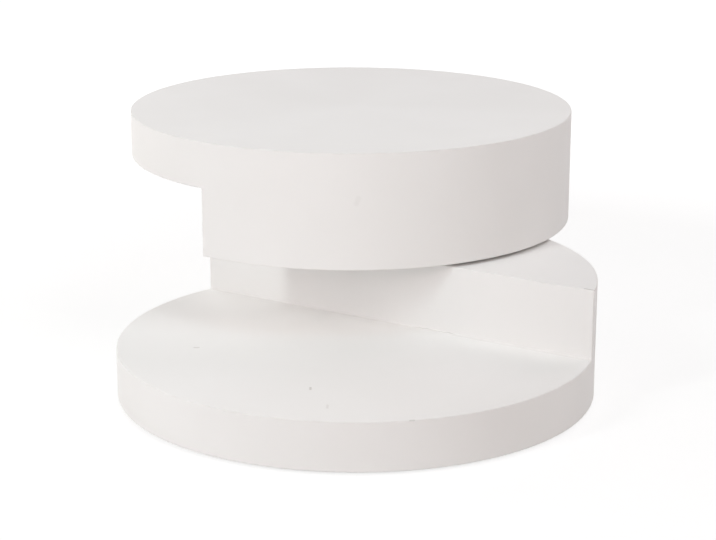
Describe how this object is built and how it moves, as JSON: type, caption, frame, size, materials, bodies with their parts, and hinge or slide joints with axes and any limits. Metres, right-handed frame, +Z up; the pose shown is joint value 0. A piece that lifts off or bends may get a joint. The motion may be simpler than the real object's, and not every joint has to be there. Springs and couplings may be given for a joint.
{
  "type": "swivel coffee table",
  "caption": "Low round coffee table in white lacquer: a disc top that turns on an offset ball-bearing swivel over a matching disc shelf, each with a D-shaped block.",
  "frame": {"origin": "on the floor, under the centre of the base disc: the underside of the middle floor pad", "axes": "+Z up, +Y from the centre of the base disc to the middle of the base's block, which holds the swivel axis at x = 0, y = 0.230; the open shelf faces -Y"},
  "size_m": [1.012, 1.1191, 0.408],
  "materials": {
    "white_lacquer": "white satin lacquer on MDF",
    "raw_board": "raw MDF",
    "dowel_wood": "raw beech",
    "felt": "dense needle felt",
    "screw_steel": "zinc-plated",
    "ring_aluminium": "mill finish, turned",
    "ball_steel": "polished",
    "cage_plastic": "natural nylon",
    "plug_plastic": "moulded, matt"
  },
  "bodies": {
    "base": {"base_floor_panel": "white_lacquer", "base_rim_wall": "white_lacquer", "base_shelf_panel": "white_lacquer", "base_block_front_panel": "white_lacquer", "base_block_curved_wall": "white_lacquer", "base_block_cap": "white_lacquer", "base_bearing_board": "raw_board", "base_block_cleat": "raw_board", "base_block_rib_left": "raw_board", "base_block_rib_right": "raw_board", "base_dowels": "dowel_wood", "base_cleat_screws": "screw_steel", "base_long_rib_1": "raw_board", "base_long_rib_2": "raw_board", "base_long_rib_3": "raw_board", "base_long_rib_4": "raw_board", "base_cross_rib_1": "raw_board", "base_cross_rib_2": "raw_board", "base_cross_rib_3": "raw_board", "base_floor_pads": "felt", "base_access_plug": "plug_plastic", "swivel_lower_ring": "ring_aluminium", "swivel_lower_screws": "screw_steel"},
    "top": {"top_table_panel": "white_lacquer", "top_rim_wall": "white_lacquer", "top_underside_panel": "white_lacquer", "top_block_front_panel": "white_lacquer", "top_block_curved_wall": "white_lacquer", "top_block_cap": "white_lacquer", "top_bearing_board": "raw_board", "top_block_cleat": "raw_board", "top_block_rib_left": "raw_board", "top_block_rib_right": "raw_board", "top_dowels": "dowel_wood", "top_cleat_screws": "screw_steel", "top_long_rib_1": "raw_board", "top_long_rib_2": "raw_board", "top_long_rib_3": "raw_board", "top_long_rib_4": "raw_board", "top_cross_rib_1": "raw_board", "top_cross_rib_2": "raw_board", "top_cross_rib_3": "raw_board", "swivel_upper_ring": "ring_aluminium", "swivel_upper_screws": "screw_steel"},
    "ball_cage": {"swivel_ball_cage": "cage_plastic", "swivel_balls": "ball_steel"}
  },
  "joints": [
    {"name": "top_swivel", "type": "hinge", "parent": "base", "child": "top", "pos_m": [0, 0.23, 0.206], "axis": [0, 0, 1], "continuous": true},
    {"name": "cage_roll", "type": "hinge", "parent": "base", "child": "ball_cage", "pos_m": [0, 0.23, 0.206], "axis": [0, 0, 1], "continuous": true}
  ],
  "couplings": [
    {"joint": "cage_roll", "follows": "top_swivel", "ratio": 0.5}
  ]
}
